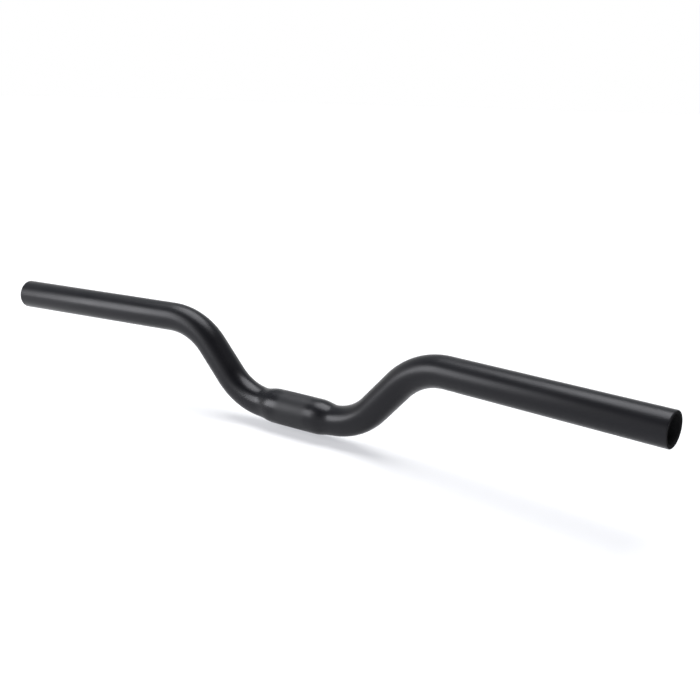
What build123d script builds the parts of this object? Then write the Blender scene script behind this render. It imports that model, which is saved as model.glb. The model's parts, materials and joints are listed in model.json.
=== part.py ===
"""Riser handlebar for a bicycle, drawn and bent from one aluminium tube.

The tube is swaged out at the centre for the stem clamp, bent up on both sides into two rises,
and bent again into two grips that sweep back towards the rider. The tapers of the swaged centre
run on into the lower bends. The tube is open at both ends.

Frame: origin at the centre of the clamp, +X to the rider's right along the bar,
+Y forwards (the grips sweep towards -Y), +Z up. Millimetres and degrees.
"""
import os
from math import cos, radians, sin, tan

from build123d import *

# Tube sections
grip_diameter = 22.2
grip_wall = 2.2
clamp_diameter = 26.0
clamp_wall = 2.6

# Swaged centre: a parallel clamp seat with a taper at each end
clamp_length = 36.0
taper_length = 16.0
taper_sections = 9

# Bends, along the tube's centreline
straight_length = 58.6
bar_width = 540.0
rise = 53.5
rise_angle = 48.0
lower_bend_radius = 48.0
upper_bend_radius = 52.0
backsweep = 8.0
upsweep = 0.5

# Edges of the cut ends
end_rounding = 0.7
mouth_chamfer = 0.5

# Radii of the outside and of the bore
grip_radius = grip_diameter / 2
grip_bore_radius = grip_radius - grip_wall
clamp_radius = clamp_diameter / 2
clamp_bore_radius = clamp_radius - clamp_wall

# Corners of the right arm's centreline, before the bends round them off
lower_corner_x = straight_length / 2 + lower_bend_radius * tan(radians(rise_angle) / 2)
upper_corner_x = lower_corner_x + rise / tan(radians(rise_angle))
grip_direction = Vector(
    cos(radians(backsweep)) * cos(radians(upsweep)),
    -sin(radians(backsweep)) * cos(radians(upsweep)),
    sin(radians(upsweep)),
)
seat_end = Vector(clamp_length / 2, 0, 0)
lower_corner = Vector(lower_corner_x, 0, 0)
upper_corner = Vector(upper_corner_x, 0, rise)
grip_end = upper_corner + grip_direction * ((bar_width / 2 - upper_corner_x) / grip_direction.X)


def taper_radius(share, seat_radius, tube_radius):
    """Radius at a share of the taper's length: an ogee, level at both ends."""
    drop = 2 * share**2 if share < 0.5 else 1 - 2 * (1 - share) ** 2
    return seat_radius + (tube_radius - seat_radius) * drop


# Right arm: taper, lower bend, rise, upper bend and grip along one centreline
with BuildPart() as arm:
    with BuildLine() as arm_line:
        FilletPolyline(
            seat_end,
            lower_corner,
            upper_corner,
            grip_end,
            radius=[lower_bend_radius, upper_bend_radius],
        )
    centreline = arm_line.wire()
    taper_line = centreline.trim(0, taper_length / centreline.length)
    tube_line = centreline.trim(taper_length / centreline.length, 1)

    # Outside first, then the bore: the taper is lofted through round sections, the plain tube is swept
    for seat_radius, tube_radius, mode in (
        (clamp_radius, grip_radius, Mode.ADD),
        (clamp_bore_radius, grip_bore_radius, Mode.SUBTRACT),
    ):
        for number in range(taper_sections):
            share = number / (taper_sections - 1)
            with BuildSketch(Plane(taper_line @ share, z_dir=taper_line % share)):
                Circle(taper_radius(share, seat_radius, tube_radius))
        loft(mode=mode)
        with BuildSketch(Plane(tube_line @ 0, z_dir=tube_line % 0)):
            Circle(tube_radius)
        sweep(path=tube_line, mode=mode)

    # Cut end: the rim is rounded outside, and the mouth of the bore is deburred
    end_face = arm.faces().filter_by(GeomType.PLANE).sort_by(Axis.X)[-1]
    mouth_edge, rim_edge = end_face.edges().sort_by(SortBy.RADIUS)
    fillet(rim_edge, radius=end_rounding)
    chamfer(mouth_edge, length=mouth_chamfer)


# Whole bar: the clamp seat with an arm on each side
with BuildPart() as handlebar:
    with BuildSketch(Plane.YZ):
        Circle(clamp_radius)
        Circle(clamp_bore_radius, mode=Mode.SUBTRACT)
    extrude(amount=clamp_length / 2, both=True)
    add(arm.part)
    mirror(arm.part, about=Plane.YZ)

handlebar.part.label = "handlebar"

os.makedirs("parts", exist_ok=True)
export_step(handlebar.part, "parts/handlebar.step")
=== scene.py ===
"""Riser handlebar in satin black anodise, with a small studio to show it in.

The bar is made as the real one is: a straight blank is turned with its swaged centre and its cut end,
bent twice, and mirrored to the other side. It stands for the part's solid, from the same sizes.

Frame: origin at the centre of the clamp, +X to the rider's right along the bar, +Y forwards, +Z up.
Metres and radians.
"""
import json
from collections import namedtuple
from math import asin, cos, pi, radians, sin, tan

import bmesh
import bpy
from bpy.props import FloatProperty, FloatVectorProperty, IntProperty, PointerProperty
from mathutils import Matrix, Vector


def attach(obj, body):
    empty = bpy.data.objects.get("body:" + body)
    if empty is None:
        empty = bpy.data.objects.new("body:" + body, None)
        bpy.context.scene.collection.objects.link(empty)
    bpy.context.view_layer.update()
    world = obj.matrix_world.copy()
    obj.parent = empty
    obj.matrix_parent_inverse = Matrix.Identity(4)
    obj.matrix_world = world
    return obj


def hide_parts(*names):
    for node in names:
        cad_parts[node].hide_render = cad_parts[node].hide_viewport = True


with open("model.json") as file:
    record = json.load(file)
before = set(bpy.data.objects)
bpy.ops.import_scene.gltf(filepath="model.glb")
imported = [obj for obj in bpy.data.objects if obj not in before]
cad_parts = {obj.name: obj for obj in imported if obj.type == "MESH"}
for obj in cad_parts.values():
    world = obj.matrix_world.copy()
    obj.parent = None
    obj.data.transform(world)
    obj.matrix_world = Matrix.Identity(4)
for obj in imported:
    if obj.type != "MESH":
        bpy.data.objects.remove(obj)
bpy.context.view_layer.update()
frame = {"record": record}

bl_info = {
    "name": "Riser handlebar",
    "version": (1, 0, 0),
    "blender": (4, 5, 0),
    "location": "3D View > Sidebar > Handlebar",
    "description": "Builds a satin black riser handlebar and the studio that shows it",
    "category": "Add Mesh",
}

# The picture is square, in pixels, and the camera's sensor is in millimetres
IMAGE_SIDE = 700
SENSOR_WIDTH = 36.0
NEAR_CLIP = 0.01

# The blank lies along +X, and each point of the mesh keeps its place on it as an attribute
ALONG = Vector((1, 0, 0))
DRAWN = "drawn"
STATION_DIGITS = 7
MERGE_DISTANCE = 1e-6
SHARP_ANGLE = radians(30)

# Noise textures run from 0 to 1 about this value
NOISE_MIDDLE = 0.5

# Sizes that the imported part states: the clamp seat, the grip seat and the bore at the bar's end
MILLIMETRE = 0.001
mounts = {mount["name"]: mount for mount in frame["record"]["mounts"]}
clamp_seat = mounts["stem_clamp"]["dims"]
grip_seat = mounts["right_grip_seat"]["dims"]
end_bore = mounts["right_bar_end"]["dims"]
grip_axis = mounts["right_grip_seat"]["axis"]
grip_middle = mounts["right_grip_seat"]["pos_m"]


class HandlebarSizes(bpy.types.PropertyGroup):
    """Sizes of the bar's tube, its swaged centre, its bends and its cut ends."""

    clamp_diameter: FloatProperty(
        name="Clamp diameter",
        description="Outside of the swaged centre, where the stem grips",
        default=2 * clamp_seat["r_mm"] * MILLIMETRE,
        unit="LENGTH",
    )
    clamp_length: FloatProperty(
        name="Clamp length",
        description="Parallel part of the swaged centre",
        default=clamp_seat["length_mm"] * MILLIMETRE,
        unit="LENGTH",
    )
    clamp_wall: FloatProperty(
        name="Clamp wall",
        description="Wall of the tube at the swaged centre",
        default=0.0026,
        unit="LENGTH",
    )
    taper_length: FloatProperty(
        name="Taper length",
        description="From the clamp's parallel part down to the plain tube",
        default=0.016,
        unit="LENGTH",
    )
    tube_diameter: FloatProperty(
        name="Tube diameter",
        description="Outside of the tube at the rises and the grips",
        default=2 * grip_seat["r_mm"] * MILLIMETRE,
        unit="LENGTH",
    )
    bore_diameter: FloatProperty(
        name="Bore diameter",
        description="Inside of the tube at the rises and the grips",
        default=2 * end_bore["r_mm"] * MILLIMETRE,
        unit="LENGTH",
    )
    rise_angle: FloatProperty(
        name="Rise angle",
        description="Slope of the rises above the clamp's line",
        default=radians(48),
        subtype="ANGLE",
    )
    lower_bend_radius: FloatProperty(
        name="Lower bend radius",
        description="Bend from the clamp into the rise, on the tube's centreline",
        default=0.048,
        unit="LENGTH",
    )
    upper_bend_radius: FloatProperty(
        name="Upper bend radius",
        description="Bend from the rise into the grip, on the tube's centreline",
        default=0.052,
        unit="LENGTH",
    )
    grip_axis: FloatVectorProperty(
        name="Grip axis",
        description="Outward direction of the right grip, swept back and up",
        default=grip_axis,
        subtype="DIRECTION",
        precision=4,
    )
    grip_middle: FloatVectorProperty(
        name="Grip middle",
        description="Middle of the right grip's straight wall",
        default=grip_middle,
        subtype="TRANSLATION",
        precision=4,
    )
    grip_length: FloatProperty(
        name="Grip length",
        description="Straight wall from the upper bend to the rounded rim",
        default=grip_seat["length_mm"] * MILLIMETRE,
        unit="LENGTH",
    )
    rim_rounding: FloatProperty(
        name="Rim rounding",
        description="Round on the outside edge of the cut end",
        default=0.0007,
        unit="LENGTH",
    )
    mouth_chamfer: FloatProperty(
        name="Mouth chamfer",
        description="Deburred edge at the mouth of the bore",
        default=0.0005,
        unit="LENGTH",
    )
    sides: IntProperty(
        name="Sides",
        description="Faces round the tube",
        default=128,
        min=16,
    )
    bend_steps: IntProperty(
        name="Bend steps",
        description="Rings of faces in each bend",
        default=28,
        min=4,
    )
    edge_steps: IntProperty(
        name="Edge steps",
        description="Rings of faces in each arc of a taper or rim",
        default=8,
        min=2,
    )


class HandlebarFinish(bpy.types.PropertyGroup):
    """The satin black anodise: its colours, its sheen, and where it is smoother, matt or dull."""

    black: FloatVectorProperty(
        name="Black",
        description="Colour of the dyed oxide where it is deepest",
        default=(0.0028, 0.0028, 0.0040),
        subtype="COLOR",
        min=0,
        max=1,
    )
    bloom: FloatVectorProperty(
        name="Bloom",
        description="Colour of the paler clouds in the dye",
        default=(0.0054, 0.0054, 0.0068),
        subtype="COLOR",
        min=0,
        max=1,
    )
    roughness: FloatProperty(
        name="Roughness",
        description="Width of the satin sheen",
        default=0.34,
        subtype="FACTOR",
        min=0,
        max=1,
    )
    sheen: FloatProperty(
        name="Sheen",
        description="How strongly the surface reflects straight on",
        default=0.235,
        subtype="FACTOR",
        min=0,
        max=1,
    )
    sheen_tint: FloatVectorProperty(
        name="Sheen tint",
        description="Cool tint of the sheen",
        default=(0.94, 0.945, 1.0),
        subtype="COLOR",
        min=0,
        max=1,
    )
    burnish_roughness: FloatProperty(
        name="Burnish roughness",
        description="Width of the sheen where the forming tools rubbed the swage and the lower bends",
        default=0.29,
        subtype="FACTOR",
        min=0,
        max=1,
    )
    burnish_reach: FloatProperty(
        name="Burnish reach",
        description="Distance along the tube, from the clamp's middle, at which the burnish starts to fade",
        default=0.055,
        unit="LENGTH",
    )
    burnish_fade: FloatProperty(
        name="Burnish fade",
        description="Length over which the burnish fades out",
        default=0.025,
        unit="LENGTH",
    )
    # Paler than the dye: partly the matt band's greyer tone, partly a painted reflection of the bright floor
    # on the seat's lower half
    seat_grey_and_painted_reflection: FloatVectorProperty(
        name="Seat black",
        description="Colour of the matt band at the middle of the clamp seat",
        default=(0.0125, 0.0127, 0.0140),
        subtype="COLOR",
        min=0,
        max=1,
    )
    seat_roughness: FloatProperty(
        name="Seat roughness",
        description="Width of the sheen on the matt band",
        default=0.45,
        subtype="FACTOR",
        min=0,
        max=1,
    )
    seat_reach: FloatProperty(
        name="Seat reach",
        description="Distance along the tube, from the clamp's middle, at which the matt band starts to fade",
        default=0.009,
        unit="LENGTH",
    )
    seat_fade: FloatProperty(
        name="Seat fade",
        description="Length over which the matt band fades out at each end",
        default=0.007,
        unit="LENGTH",
    )
    cut_black: FloatVectorProperty(
        name="Cut black",
        description="Colour of the dull surfaces: the bore and the cut end",
        default=(0.0200, 0.0202, 0.0215),
        subtype="COLOR",
        min=0,
        max=1,
    )
    cut_roughness: FloatProperty(
        name="Cut roughness",
        description="Width of what sheen is left where the satin turns dull",
        default=0.85,
        subtype="FACTOR",
        min=0,
        max=1,
    )
    dull_radius: FloatProperty(
        name="Dull radius",
        description="Surfaces nearer to the tube's centreline than this are dull: the bore and the cut end",
        default=0.0104,
        unit="LENGTH",
    )
    dull_fade: FloatProperty(
        name="Dull fade",
        description="Distance over which the rim turns from dull to satin",
        default=0.0005,
        unit="LENGTH",
    )
    cloud_size: FloatProperty(
        name="Cloud size",
        description="Size of the uneven patches in the dye",
        default=0.030,
        unit="LENGTH",
    )
    cloud_roughness: FloatProperty(
        name="Cloud roughness",
        description="How much the roughness changes from cloud to cloud",
        default=0.14,
        subtype="FACTOR",
        min=0,
        max=1,
    )
    line_size: FloatProperty(
        name="Line size",
        description="Width of the faint drawing lines that follow the tube",
        default=0.0006667,
        unit="LENGTH",
        precision=5,
    )
    line_stretch: FloatProperty(
        name="Line stretch",
        description="How many times longer than wide the drawing lines are",
        default=50.0,
        min=1,
    )
    line_roughness: FloatProperty(
        name="Line roughness",
        description="How much the roughness changes from line to line",
        default=0.06,
        subtype="FACTOR",
        min=0,
        max=1,
    )
    line_relief: FloatProperty(
        name="Line relief",
        description="Height of the drawing lines, as a share of the grain's",
        default=0.35,
        subtype="FACTOR",
        min=0,
        max=1,
    )
    grain_size: FloatProperty(
        name="Grain size",
        description="Size of the blasted grain",
        default=0.00035,
        unit="LENGTH",
        precision=5,
    )
    grain_depth: FloatProperty(
        name="Grain depth",
        description="Height of the blasted grain",
        default=0.000018,
        unit="LENGTH",
        precision=6,
    )


class HandlebarStudio(bpy.types.PropertyGroup):
    """The floor, the white room and the camera."""

    floor_drop: FloatProperty(
        name="Floor drop",
        description="Depth of the floor below the clamp's centreline",
        default=0.0168,
        unit="LENGTH",
    )
    floor_size: FloatProperty(
        name="Floor size",
        description="Side of the square floor",
        default=60.0,
        unit="LENGTH",
    )
    floor_colour: FloatVectorProperty(
        name="Floor colour",
        description="Colour of the paper under the bar",
        default=(0.50, 0.50, 0.50),
        subtype="COLOR",
        min=0,
        max=1,
    )
    floor_glow: FloatVectorProperty(
        name="Floor glow",
        description="Light of the paper's own, which makes it white where it is seen",
        default=(0.40, 0.405, 0.43),
        subtype="COLOR",
        min=0,
        max=1,
    )
    wall_axis: FloatVectorProperty(
        name="Wall axis",
        description="Direction of the room's bright side",
        default=(-0.7071, 0.7071, 0.0),
        subtype="DIRECTION",
    )
    bright_start: FloatProperty(
        name="Bright start",
        description="Cosine of the angle from the wall axis at which the bright side starts",
        default=-0.6,
        min=-1,
        max=1,
    )
    bright_full: FloatProperty(
        name="Bright full",
        description="Cosine of the angle from the wall axis at which the bright side is at its full level",
        default=0.5,
        min=-1,
        max=1,
    )
    wall_top: FloatProperty(
        name="Wall top",
        description="Sine of the angle above the horizon up to which the walls are white",
        default=0.30,
        min=0,
        max=1,
    )
    wall_fade: FloatProperty(
        name="Wall fade",
        description="Further rise of that sine over which the walls fade into the ceiling",
        default=0.10,
        min=0,
        max=1,
    )
    bright_wall_fade: FloatProperty(
        name="Bright wall fade",
        description="What is added to the wall fade on the bright side",
        default=0.15,
        min=0,
        max=1,
    )
    bright_ceiling: FloatProperty(
        name="Bright ceiling",
        description="Brightness of the ceiling on the bright side, where white is 1",
        default=0.48,
        min=0,
    )
    dim_ceiling: FloatProperty(
        name="Dim ceiling",
        description="Brightness of the ceiling on the other side, where white is 1",
        default=0.02,
        min=0,
    )
    ceiling_colour: FloatVectorProperty(
        name="Ceiling colour",
        description="Cool tint of the ceiling",
        default=(0.90, 0.94, 1.0),
        subtype="COLOR",
        min=0,
        max=1,
    )
    camera_azimuth: FloatProperty(
        name="Camera azimuth",
        description="Turn of the camera round the bar, from straight behind it",
        default=radians(33.153),
        subtype="ANGLE",
    )
    camera_elevation: FloatProperty(
        name="Camera elevation",
        description="Height of the camera above the clamp's centreline, as an angle",
        default=radians(15.761),
        subtype="ANGLE",
    )
    camera_roll: FloatProperty(
        name="Camera roll",
        description="Tilt of the picture",
        default=radians(1.450),
        subtype="ANGLE",
    )
    camera_distance: FloatProperty(
        name="Camera distance",
        description="From the camera to the clamp, along the line of sight",
        default=0.65573,
        unit="LENGTH",
    )
    camera_slide: FloatVectorProperty(
        name="Camera slide",
        description="Shift of the camera to its right and up, which frames the bar",
        default=(0.03796, 0.04510),
        size=2,
        unit="LENGTH",
    )
    focal_pixels: FloatProperty(
        name="Focal length in pixels",
        description="Focal length over the width of one pixel of the square picture",
        default=888.75,
        min=1,
    )


class Value:
    """One output of a node. Arithmetic on it adds Math nodes."""

    def __init__(self, nodes, socket):
        self.nodes = nodes
        self.socket = socket

    def math(self, operation, *values):
        inputs = dict(zip(("Value", "Value_001"), values))
        return self.nodes.add("ShaderNodeMath", {"operation": operation}, inputs)

    def __add__(self, other):
        return self.math("ADD", self, other)

    def __radd__(self, other):
        return self.math("ADD", other, self)

    def __sub__(self, other):
        return self.math("SUBTRACT", self, other)

    def __rsub__(self, other):
        return self.math("SUBTRACT", other, self)

    def __mul__(self, other):
        return self.math("MULTIPLY", self, other)

    def __rmul__(self, other):
        return self.math("MULTIPLY", other, self)

    def __abs__(self):
        return self.math("ABSOLUTE", self)

    def at_least(self, other):
        return self.math("MAXIMUM", self, other)


class Nodes:
    """The node tree of a material or a world, wired up from nothing."""

    def __init__(self, owner):
        owner.use_nodes = True
        self.tree = owner.node_tree
        self.tree.nodes.clear()

    def add(self, kind, settings=None, inputs=None, output=None):
        """Add a node, set it up, fill its inputs with values or links, and give one of its outputs."""
        node = self.tree.nodes.new(kind)
        for name, setting in (settings or {}).items():
            setattr(node, name, setting)
        sockets = {socket.identifier: socket for socket in node.inputs}
        for name, value in (inputs or {}).items():
            if isinstance(value, Value):
                self.tree.links.new(value.socket, sockets[name])
            else:
                sockets[name].default_value = value
        if not node.outputs:
            return None
        results = {socket.identifier: socket for socket in node.outputs}
        return Value(self, results[output] if output else node.outputs[0])

    def vector(self, operation, *vectors, output="Vector"):
        """Vector arithmetic."""
        inputs = dict(zip(("Vector", "Vector_001"), vectors))
        return self.add("ShaderNodeVectorMath", {"operation": operation}, inputs, output)

    def mix(self, factor, first, second):
        """Blend two colours."""
        colours = {"A_Color": first, "B_Color": second}
        inputs = {
            name: colour if isinstance(colour, Value) else rgba(colour) for name, colour in colours.items()
        }
        inputs["Factor_Float"] = factor
        return self.add("ShaderNodeMix", {"data_type": "RGBA"}, inputs, "Result_Color")

    def noise(self, place, size, detail):
        """Smooth noise with patches of a size."""
        inputs = {"Vector": place, "Scale": 1 / size, "Detail": detail}
        return self.add("ShaderNodeTexNoise", inputs=inputs)

    def smooth_step(self, value, low, high):
        """Go smoothly from 0 to 1 as the value goes from low to high."""
        return self.add(
            "ShaderNodeMapRange",
            {"interpolation_type": "SMOOTHSTEP"},
            {"Value": value, "From Min": low, "From Max": high},
        )

    def fade_out(self, value, reach, length):
        """Stay at 1 as far as the reach, and then go smoothly to 0 over a length."""
        return 1 - self.smooth_step(value, reach, reach + length)


def rgba(colour):
    """A colour socket's four numbers."""
    return (*colour, 1.0)


def anodise_material(finish):
    """Satin black anodise, smoother at the swage, matt and paler on the clamp seat, dull in the bore and cut
    ends. The seat's paler colour is partly its greyer matt tone and partly a painted reflection of the bright
    floor.
    """
    material = bpy.data.materials.new("satin_black_anodise")
    nodes = Nodes(material)
    place = nodes.add("ShaderNodeTexCoord", output="Object")
    drawn = nodes.add(
        "ShaderNodeAttribute",
        {"attribute_type": "GEOMETRY", "attribute_name": DRAWN},
        output="Vector",
    )

    # Masks along the straight blank, and across it
    station = abs(nodes.add("ShaderNodeSeparateXYZ", inputs={"Vector": drawn}, output="X"))
    radius = nodes.vector("LENGTH", nodes.vector("MULTIPLY", drawn, (0, 1, 1)), output="Value")
    burnished = nodes.fade_out(station, finish.burnish_reach, finish.burnish_fade)
    seat = nodes.fade_out(station, finish.seat_reach, finish.seat_fade)
    inside = nodes.fade_out(radius, finish.dull_radius, finish.dull_fade)

    # Clouds in the dye, the blasted grain, and drawing lines along the tube
    clouds = nodes.noise(place, finish.cloud_size, detail=4.0)
    grain = nodes.noise(place, finish.grain_size, detail=2.0)
    stretched = nodes.vector("MULTIPLY", drawn, (1 / finish.line_stretch, 1, 1))
    lines = nodes.noise(stretched, finish.line_size, detail=2.0)

    dye = nodes.mix(clouds, finish.black, finish.bloom)
    roughness = (
        finish.roughness
        + finish.cloud_roughness * (clouds - NOISE_MIDDLE)
        + finish.line_roughness * (lines - NOISE_MIDDLE)
        + (finish.burnish_roughness - finish.roughness) * burnished
        + (finish.seat_roughness - finish.burnish_roughness) * seat
        + (finish.cut_roughness - finish.roughness) * inside
    )
    relief = nodes.add(
        "ShaderNodeBump",
        inputs={
            "Strength": 1.0,
            "Distance": finish.grain_depth,
            "Height": grain + finish.line_relief * lines,
        },
    )
    satin = nodes.add(
        "ShaderNodeBsdfPrincipled",
        inputs={
            # On the clamp seat the colour turns paler, partly a painted reflection of the bright floor
            "Base Color": nodes.mix(seat, dye, finish.seat_grey_and_painted_reflection),
            "Roughness": roughness,
            "Specular IOR Level": finish.sheen,
            "Specular Tint": rgba(finish.sheen_tint),
            "Normal": relief,
        },
    )
    dull = nodes.add("ShaderNodeBsdfDiffuse", inputs={"Color": rgba(finish.cut_black)})
    surface = nodes.add(
        "ShaderNodeMixShader",
        inputs={"Fac": inside, "Shader": satin, "Shader_001": dull},
    )
    nodes.add("ShaderNodeOutputMaterial", inputs={"Surface": surface})
    return material


class Pen:
    """Draws a profile in the XZ plane from its first point on."""

    def __init__(self, bm, x, z):
        self.bm = bm
        self.tip = bmesh.ops.create_vert(bm, co=(x, 0, z))["vert"][0]

    def line(self, x, z, steps=1):
        """Draw a straight line to a point, in equal steps."""
        stride = (Vector((x, 0, z)) - self.tip.co) / steps
        for _ in range(steps):
            self.tip = bmesh.ops.extrude_vert_indiv(self.bm, verts=[self.tip])["verts"][0]
            bmesh.ops.translate(self.bm, verts=[self.tip], vec=stride)

    def arc(self, x, z, turn, steps):
        """Draw an arc round a centre; a turn above zero goes from +Z towards +X."""
        last = bmesh.ops.spin(
            self.bm, geom=[self.tip], cent=(x, 0, z), axis=(0, 1, 0), angle=turn, steps=steps
        )["geom_last"]
        self.tip = next(part for part in last if isinstance(part, bmesh.types.BMVert))

    def ogee(self, run, drop, steps):
        """Draw two equal arcs, level at both ends, that step down by the drop over the run."""
        radius = (run**2 + drop**2) / (4 * abs(drop))
        turn = asin(abs(run) / 2 / radius)
        side = 1 if drop > 0 else -1
        heading = 1 if run > 0 else -1
        x, _, z = self.tip.co
        self.arc(x, z - side * radius, side * heading * turn, steps)
        self.arc(x + run, z - drop + side * radius, -side * heading * turn, steps)


Bend = namedtuple("Bend", "start radius axis angle")
Blank = namedtuple("Blank", "lower upper length")


def bend_end(bend):
    """Distance along the blank at which a bend ends."""
    return bend.start + bend.radius * bend.angle


def lay_out_blank(sizes):
    """Where the straight blank is bent, and its length, from the clamp's middle to the right end."""
    across = Vector((0, -1, 0))
    rise_turn = Matrix.Rotation(sizes.rise_angle, 3, across)
    grip_heading = Vector(sizes.grip_axis).normalized()
    heading_before_rise = rise_turn.transposed() @ grip_heading
    grip_turn = ALONG.angle(heading_before_rise)

    lower_reach = sizes.lower_bend_radius * tan(sizes.rise_angle / 2)
    upper_reach = sizes.upper_bend_radius * tan(grip_turn / 2)
    grip_start = Vector(sizes.grip_middle) - grip_heading * (sizes.grip_length / 2)
    upper_corner = grip_start - grip_heading * upper_reach
    lower_corner_x = upper_corner.x - upper_corner.z / tan(sizes.rise_angle)
    rise_straight = upper_corner.z / sin(sizes.rise_angle) - lower_reach - upper_reach

    lower = Bend(lower_corner_x - lower_reach, sizes.lower_bend_radius, across, sizes.rise_angle)
    upper_axis = ALONG.cross(heading_before_rise).normalized()
    upper = Bend(bend_end(lower) + rise_straight, sizes.upper_bend_radius, upper_axis, grip_turn)
    return Blank(lower, upper, bend_end(upper) + sizes.grip_length + sizes.rim_rounding)


def draw_half_profile(bm, sizes, blank):
    """Draw half the blank's wall in the XZ plane: the outside, the cut end, and the bore back again."""
    seat_half = sizes.clamp_length / 2
    taper_end = seat_half + sizes.taper_length
    clamp_radius = sizes.clamp_diameter / 2
    clamp_bore = clamp_radius - sizes.clamp_wall
    tube_radius = sizes.tube_diameter / 2
    bore_radius = sizes.bore_diameter / 2
    rim = sizes.rim_rounding
    chamfer = sizes.mouth_chamfer

    pen = Pen(bm, 0, clamp_radius)
    pen.line(seat_half, clamp_radius)
    pen.ogee(sizes.taper_length, clamp_radius - tube_radius, sizes.edge_steps)
    for bend in (blank.lower, blank.upper):
        pen.line(max(bend.start, taper_end), tube_radius)
        pen.line(bend_end(bend), tube_radius, sizes.bend_steps)
    pen.line(blank.length - rim, tube_radius)
    pen.arc(blank.length - rim, tube_radius - rim, pi / 2, sizes.edge_steps)
    pen.line(blank.length, bore_radius + chamfer)
    pen.line(blank.length - chamfer, bore_radius)
    for bend in (blank.upper, blank.lower):
        pen.line(bend_end(bend), bore_radius)
        pen.line(max(bend.start, taper_end), bore_radius, sizes.bend_steps)
    pen.line(taper_end, bore_radius)
    pen.ogee(-sizes.taper_length, bore_radius - clamp_bore, sizes.edge_steps)
    pen.line(0, clamp_bore)


def bend_matrix(bend, station):
    """Carry what lies at a station of the straight blank round a bend."""
    turn = min(max(station - bend.start, 0) / bend.radius, bend.angle)
    centre = ALONG * bend.start + bend.axis.cross(ALONG) * bend.radius
    roll = Matrix.Translation(centre) @ Matrix.Rotation(turn, 4, bend.axis) @ Matrix.Translation(-centre)
    return roll @ Matrix.Translation(ALONG * (-turn * bend.radius))


def bend_blank(bm, blank):
    """Bend the straight blank ring by ring: first the grip, then the rise."""
    rings = {}
    for vert in bm.verts:
        rings.setdefault(round(vert.co.x, STATION_DIGITS), []).append(vert)
    for station, ring in rings.items():
        matrix = bend_matrix(blank.lower, station) @ bend_matrix(blank.upper, station)
        bmesh.ops.transform(bm, matrix=matrix, verts=ring)


def build_tube(sizes):
    """The whole bar as one closed mesh, with its place on the straight blank kept as an attribute."""
    blank = lay_out_blank(sizes)
    bm = bmesh.new()
    draw_half_profile(bm, sizes, blank)
    bmesh.ops.spin(
        bm,
        geom=bm.verts[:] + bm.edges[:],
        cent=(0, 0, 0),
        axis=ALONG,
        angle=2 * pi,
        steps=sizes.sides,
        use_merge=True,
    )
    drawn = bm.verts.layers.float_vector.new(DRAWN)
    for vert in bm.verts:
        vert[drawn] = vert.co
    bend_blank(bm, blank)
    bmesh.ops.mirror(
        bm,
        geom=bm.verts[:] + bm.edges[:] + bm.faces[:],
        matrix=Matrix.Identity(4),
        merge_dist=MERGE_DISTANCE,
        axis="X",
    )
    for vert in bm.verts:
        if vert.co.x < 0:
            vert[drawn].x *= -1
    bmesh.ops.remove_doubles(bm, verts=bm.verts[:], dist=MERGE_DISTANCE)
    bmesh.ops.recalc_face_normals(bm, faces=bm.faces[:])
    for face in bm.faces:
        face.smooth = True
    mesh = bpy.data.meshes.new("bent_tube")
    bm.to_mesh(mesh)
    bm.free()
    mesh.set_sharp_from_angle(angle=SHARP_ANGLE)
    return mesh


class HANDLEBAR_OT_tube(bpy.types.Operator):
    """Make the bent tube in its satin black finish"""

    bl_idname = "handlebar.tube"
    bl_label = "Bent tube"

    def execute(self, context):
        mesh = build_tube(context.scene.handlebar_sizes)
        mesh.materials.append(anodise_material(context.scene.handlebar_finish))
        tube = bpy.data.objects.new("bent_tube", mesh)
        context.scene.collection.objects.link(tube)
        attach(tube, "root")
        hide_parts("handlebar")
        return {"FINISHED"}


Softbox = namedtuple("Softbox", "name azimuth elevation distance width height radiance")
Skylight = namedtuple("Skylight", "name azimuth elevation distance spread radiance")

SOFTBOX = Softbox(
    name="side_softbox",
    azimuth=radians(-137.8),
    elevation=radians(20.6),
    distance=0.81,
    width=0.32,
    height=0.45,
    radiance=11.2,
)
SKYLIGHT = Skylight(
    name="skylight",
    azimuth=radians(-40),
    elevation=radians(80),
    distance=2.0,
    spread=radians(46),
    radiance=7.7,
)


def direction(azimuth, elevation):
    """A unit vector: azimuth turns from +Y towards +X, and elevation is above the floor."""
    return Vector((sin(azimuth) * cos(elevation), cos(azimuth) * cos(elevation), sin(elevation)))


def hang_lamp(scene, lamp, place):
    """Hang a lamp where its place says, facing the clamp."""
    towards = direction(place.azimuth, place.elevation)
    lamp_object = bpy.data.objects.new(lamp.name, lamp)
    lamp_object.location = towards * place.distance
    lamp_object.rotation_euler = towards.to_track_quat("Z", "Y").to_euler()
    lamp_object.visible_camera = False
    scene.collection.objects.link(lamp_object)


def light_softbox(scene, box):
    """A flat soft lamp close to the bar, which draws the streaks along it."""
    lamp = bpy.data.lights.new(box.name, "AREA")
    lamp.shape = "RECTANGLE"
    lamp.size = box.width
    lamp.size_y = box.height
    lamp.energy = box.radiance * box.width * box.height * pi
    hang_lamp(scene, lamp, box)


def light_skylight(scene, skylight):
    """A wide soft light from far above, even over the whole floor."""
    lamp = bpy.data.lights.new(skylight.name, "SUN")
    lamp.angle = skylight.spread
    lamp.energy = skylight.radiance * pi * sin(skylight.spread / 2) ** 2
    hang_lamp(scene, lamp, skylight)


def paper_material(studio):
    """Pale matt paper that takes a shadow, and glows to white where it is seen."""
    material = bpy.data.materials.new("pale_paper")
    nodes = Nodes(material)

    def ray(kind):
        return nodes.add("ShaderNodeLightPath", output=kind)

    seen = ray("Is Camera Ray").at_least(ray("Is Glossy Ray")).at_least(ray("Is Transmission Ray"))
    paper = nodes.add("ShaderNodeBsdfDiffuse", inputs={"Color": rgba(studio.floor_colour)})
    glow = nodes.add(
        "ShaderNodeEmission",
        inputs={"Color": rgba(studio.floor_glow), "Strength": seen},
    )
    both = nodes.add("ShaderNodeAddShader", inputs={"Shader": paper, "Shader_001": glow})
    nodes.add("ShaderNodeOutputMaterial", inputs={"Surface": both})
    return material


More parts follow.
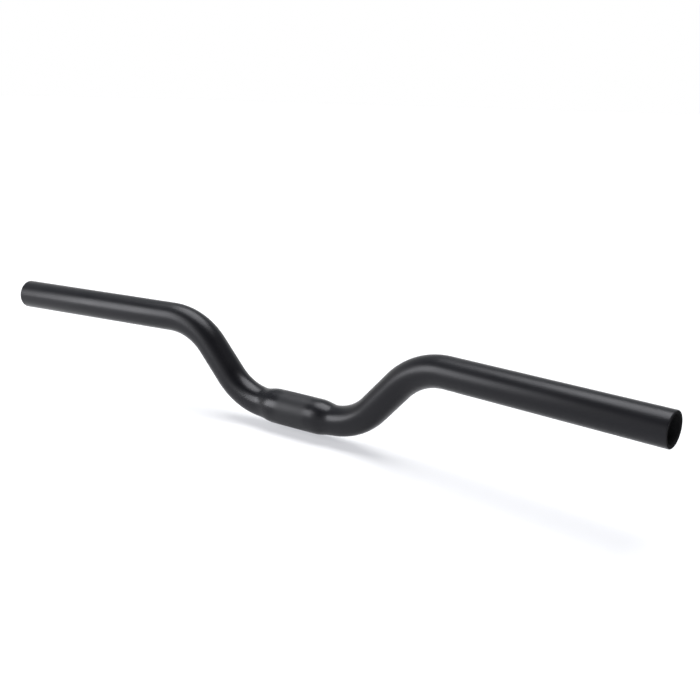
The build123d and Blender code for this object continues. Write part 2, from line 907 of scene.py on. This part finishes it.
def lay_floor(scene, studio):
    """One wide flat sheet under the bar."""
    bm = bmesh.new()
    bmesh.ops.create_grid(bm, x_segments=1, y_segments=1, size=studio.floor_size / 2)
    bmesh.ops.translate(bm, verts=bm.verts[:], vec=(0, 0, -studio.floor_drop))
    mesh = bpy.data.meshes.new("floor")
    bm.to_mesh(mesh)
    bm.free()
    mesh.materials.append(paper_material(studio))
    floor = bpy.data.objects.new("floor", mesh)
    scene.collection.objects.link(floor)


def light_world(scene, studio):
    """A room whose white walls fade into a dim cool ceiling, higher up and less dim on its bright side."""
    world = bpy.data.worlds.new("white_room")
    scene.world = world
    nodes = Nodes(world)
    outward = nodes.add("ShaderNodeTexCoord", output="Generated")
    height = nodes.add("ShaderNodeSeparateXYZ", inputs={"Vector": outward}, output="Z")
    along_wall = nodes.vector("DOT_PRODUCT", outward, studio.wall_axis, output="Value")
    bright_side = nodes.smooth_step(along_wall, studio.bright_start, studio.bright_full)
    ceiling_edge = studio.wall_top + studio.wall_fade + studio.bright_wall_fade * bright_side
    overhead = nodes.smooth_step(height, studio.wall_top, ceiling_edge)
    ceiling = studio.dim_ceiling + (studio.bright_ceiling - studio.dim_ceiling) * bright_side
    colour = nodes.mix(overhead, (1, 1, 1), studio.ceiling_colour)
    room = nodes.add(
        "ShaderNodeBackground",
        inputs={"Color": colour, "Strength": 1 + (ceiling - 1) * overhead},
    )
    nodes.add("ShaderNodeOutputWorld", inputs={"Surface": room})


def place_camera(scene, studio):
    """The camera, turned round the clamp and slid sideways to frame the whole bar."""
    azimuth, roll = studio.camera_azimuth, studio.camera_roll
    back = direction(pi - azimuth, studio.camera_elevation)
    level = Vector((cos(azimuth), sin(azimuth), 0))
    upright = back.cross(level)
    right = level * cos(roll) + upright * sin(roll)
    up = upright * cos(roll) - level * sin(roll)
    slide = studio.camera_slide
    camera = bpy.data.cameras.new("camera")
    camera.sensor_width = SENSOR_WIDTH
    camera.lens = studio.focal_pixels / IMAGE_SIDE * SENSOR_WIDTH
    camera.clip_start = NEAR_CLIP
    camera_object = bpy.data.objects.new("camera", camera)
    turned = Matrix((right, up, back)).transposed().to_4x4()
    shifted = right * slide[0] + up * slide[1] + back * studio.camera_distance
    camera_object.matrix_world = Matrix.Translation(shifted) @ turned
    scene.collection.objects.link(camera_object)
    scene.camera = camera_object


class HANDLEBAR_OT_studio(bpy.types.Operator):
    """Lay the floor, light the room, hang the lamps and set up the camera"""

    bl_idname = "handlebar.studio"
    bl_label = "Studio"

    def execute(self, context):
        scene = context.scene
        studio = scene.handlebar_studio
        scene.view_settings.view_transform = "Standard"
        lay_floor(scene, studio)
        light_world(scene, studio)
        light_softbox(scene, SOFTBOX)
        light_skylight(scene, SKYLIGHT)
        place_camera(scene, studio)
        return {"FINISHED"}


class HANDLEBAR_PT_panel(bpy.types.Panel):
    """Sizes, finish and studio of the handlebar"""

    bl_idname = "HANDLEBAR_PT_panel"
    bl_label = "Riser handlebar"
    bl_space_type = "VIEW_3D"
    bl_region_type = "UI"
    bl_category = "Handlebar"

    def draw(self, context):
        scene = context.scene
        groups = (
            (scene.handlebar_sizes, None),
            (scene.handlebar_finish, HANDLEBAR_OT_tube),
            (scene.handlebar_studio, HANDLEBAR_OT_studio),
        )
        for group, operator in groups:
            column = self.layout.column()
            for name in group.__annotations__:
                column.prop(group, name)
            if operator:
                column.operator(operator.bl_idname)


CLASSES = (
    HandlebarSizes,
    HandlebarFinish,
    HandlebarStudio,
    HANDLEBAR_OT_tube,
    HANDLEBAR_OT_studio,
    HANDLEBAR_PT_panel,
)


def register():
    for cls in CLASSES:
        bpy.utils.register_class(cls)
    bpy.types.Scene.handlebar_sizes = PointerProperty(type=HandlebarSizes)
    bpy.types.Scene.handlebar_finish = PointerProperty(type=HandlebarFinish)
    bpy.types.Scene.handlebar_studio = PointerProperty(type=HandlebarStudio)


def unregister():
    del bpy.types.Scene.handlebar_studio
    del bpy.types.Scene.handlebar_finish
    del bpy.types.Scene.handlebar_sizes
    for cls in reversed(CLASSES):
        bpy.utils.unregister_class(cls)


def main():
    register()
    bpy.ops.handlebar.tube()
    bpy.ops.handlebar.studio()


if __name__ == "__main__":
    main()
